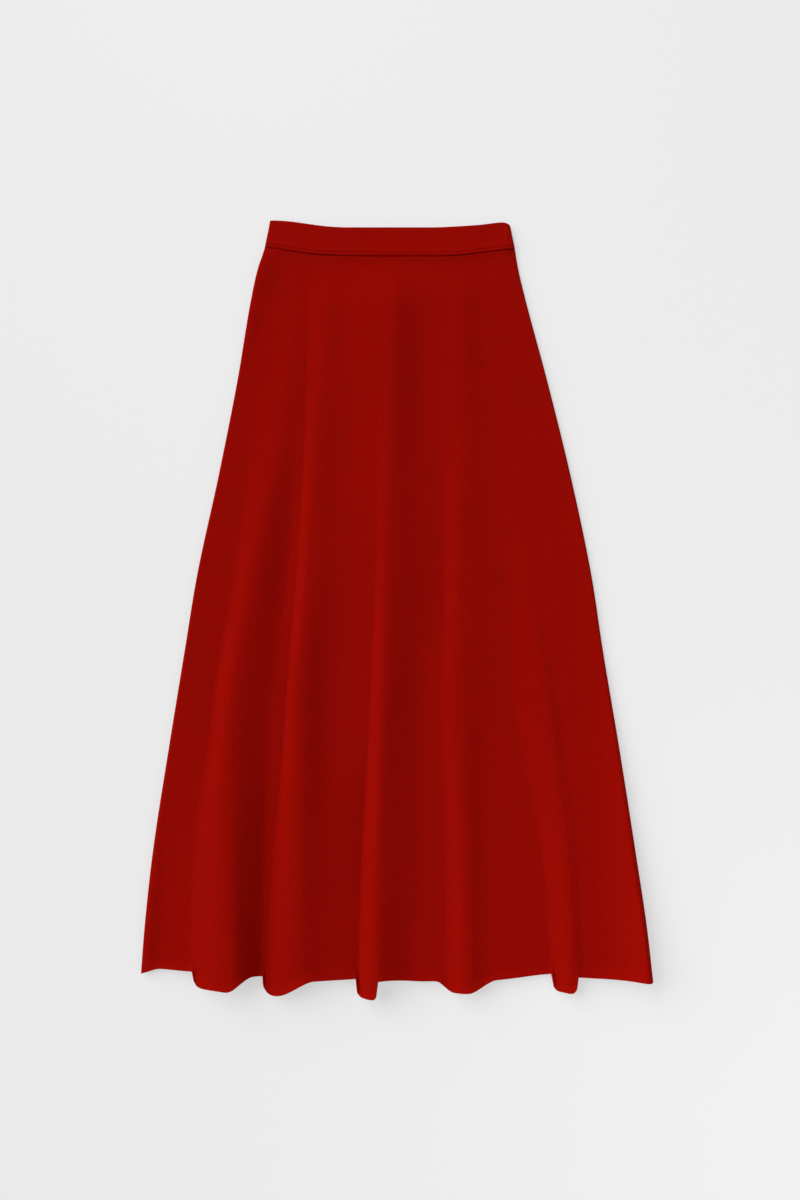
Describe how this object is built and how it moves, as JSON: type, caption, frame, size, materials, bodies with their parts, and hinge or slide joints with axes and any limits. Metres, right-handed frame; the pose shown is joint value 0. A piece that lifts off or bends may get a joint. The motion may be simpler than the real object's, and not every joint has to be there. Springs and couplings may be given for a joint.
{
  "type": "flared midi skirt",
  "caption": "Flared midi skirt in deep red compact knit, laid flat, with a plain waistband and soft raised flutes that widen towards the hem.",
  "frame": {"origin": "on the surface the skirt lies on, under the middle of its whole outline", "axes": "+X to the right of the skirt as it is seen, +Y up the skirt from the hem to the waistband, +Z off the surface it lies on"},
  "size_m": [0.6126, 0.9298, 0.0263],
  "materials": {
    "skirt_knit": "fine dense matte knit, deep red",
    "band_knit": "fine dense matte knit, deep red, doubled"
  },
  "bodies": {
    "root": {"skirt_front": "skirt_knit", "skirt_back": "skirt_knit", "waistband_front": "band_knit", "waistband_back": "band_knit"}
  },
  "joints": []
}
